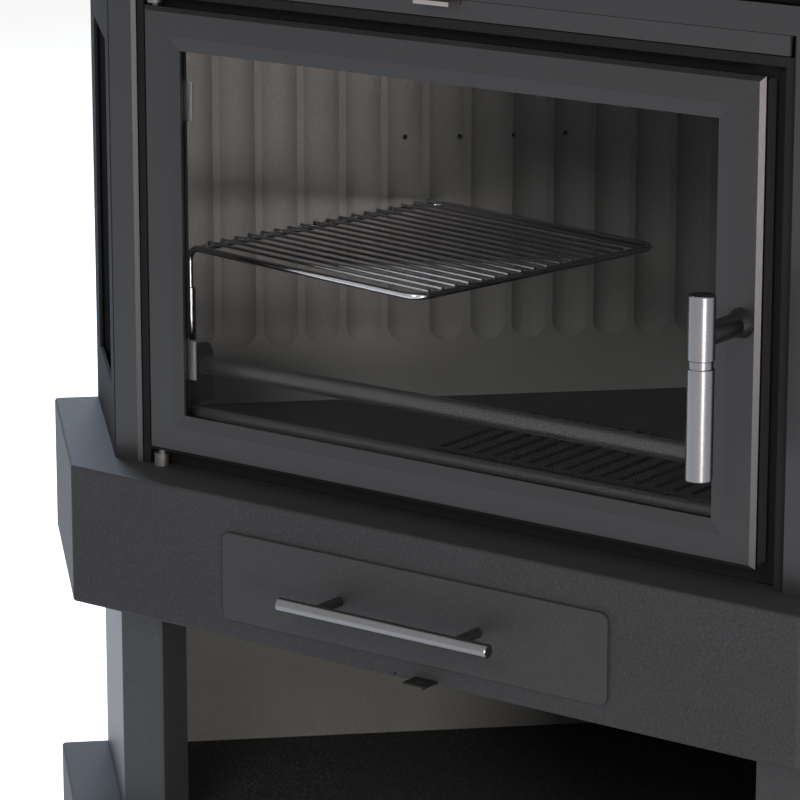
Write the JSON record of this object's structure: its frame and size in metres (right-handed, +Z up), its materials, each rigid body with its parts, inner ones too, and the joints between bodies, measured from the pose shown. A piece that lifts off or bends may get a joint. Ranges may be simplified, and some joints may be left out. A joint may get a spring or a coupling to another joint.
{
  "type": "corner fireplace",
  "caption": "Corner fireplace of folded sheet steel with a glass door, fluted firebox, swivel grill, ash drawer, log store and flue collar.",
  "frame": {"origin": "middle of the whole object's box in plan, on the floor", "axes": "+Z up, +X to the right as seen from the front, the front faces -Y and the room corner is at +Y"},
  "size_m": [1.1126, 0.736, 1.061],
  "materials": {
    "body_paint": "matt anthracite stove paint",
    "door_paint": "matt anthracite stove paint",
    "box_paint": "matt anthracite stove paint with a fine texture",
    "cast_lining": "fine grained warm grey lining",
    "dark_cast": "speckled near black",
    "plain_steel": "dark satin steel",
    "polished_steel": "polished stainless steel",
    "chrome_wire": "bright chrome",
    "clear_glass": "clear ceramic glass",
    "rope": "woven glass fibre, black"
  },
  "bodies": {
    "stove_body": {"air_cover_plate": "body_paint", "baffle": "cast_lining", "door_seat": "plain_steel", "drawer_runners": "plain_steel", "firebox_floor": "dark_cast", "firebox_roof": "plain_steel", "firebox_shell": "plain_steel", "flue_collar": "body_paint", "fluted_liner_left": "cast_lining", "fluted_liner_right": "cast_lining", "front_frame": "body_paint", "front_lip": "dark_cast", "grate": "dark_cast", "grill_socket": "chrome_wire", "guard_brackets": "plain_steel", "hinge_pins": "plain_steel", "hot_air_grille": "plain_steel", "liner_corner": "cast_lining", "log_guard": "plain_steel", "opening_rim": "plain_steel", "plinth_box": "box_paint", "primary_slider_guide": "plain_steel", "rear_sheet_corner": "plain_steel", "rear_sheet_left": "plain_steel", "rear_sheet_right": "plain_steel", "secondary_slider_guide": "plain_steel", "side_inset_left": "plain_steel", "side_inset_right": "plain_steel", "side_liner_left": "cast_lining", "side_liner_right": "cast_lining", "side_sheet_left": "body_paint", "side_sheet_right": "body_paint", "store_floor": "dark_cast", "store_lining": "cast_lining", "store_side_left": "body_paint", "store_side_right": "body_paint", "top_cap": "box_paint", "waist_box": "box_paint", "waist_floor": "plain_steel"},
    "door": {"door_frame": "door_paint", "door_backing": "plain_steel", "door_glass": "clear_glass", "glass_tape": "rope", "glass_clips": "plain_steel", "clip_screws": "polished_steel", "door_rope": "rope"},
    "handle": {"handle_spindle": "polished_steel", "handle_stub": "polished_steel", "grip_lower": "polished_steel", "grip_upper": "polished_steel", "latch_cam": "plain_steel", "cam_nut": "polished_steel"},
    "ash_drawer": {"drawer_front": "door_paint", "ash_tray": "plain_steel", "drawer_bar": "polished_steel", "drawer_posts": "polished_steel"},
    "lower_air_slider": {"primary_slider": "plain_steel"},
    "upper_air_slider": {"secondary_slider": "polished_steel"},
    "swivel_grill": {"grill_frame": "chrome_wire", "grill_wires": "chrome_wire"}
  },
  "joints": [
    {"name": "door_hinge", "type": "hinge", "parent": "stove_body", "child": "door", "pos_m": [-0.3126, -0.2738, 0.65], "axis": [0, 0, -1], "range_deg": [0, 100]},
    {"name": "handle_turn", "type": "hinge", "parent": "door", "child": "handle", "pos_m": [0.298, -0.292, 0.6595], "axis": [0, -1, 0], "range_deg": [0, 60]},
    {"name": "drawer_slide", "type": "slide", "parent": "stove_body", "child": "ash_drawer", "axis": [0, -1, 0], "range_m": [0, 0.3]},
    {"name": "lower_air_slide", "type": "slide", "parent": "stove_body", "child": "lower_air_slider", "axis": [0, -1, 0], "range_m": [0, 0.02]},
    {"name": "upper_air_slide", "type": "slide", "parent": "stove_body", "child": "upper_air_slider", "axis": [0, -1, 0], "range_m": [0, 0.015]},
    {"name": "grill_swing", "type": "hinge", "parent": "stove_body", "child": "swivel_grill", "pos_m": [-0.335, -0.2055, 0.6], "axis": [0, 0, -1], "range_deg": [0, 35]}
  ],
  "couplings": [
    {"joint": "grill_swing", "follows": "door_hinge", "ratio": 0.35}
  ]
}
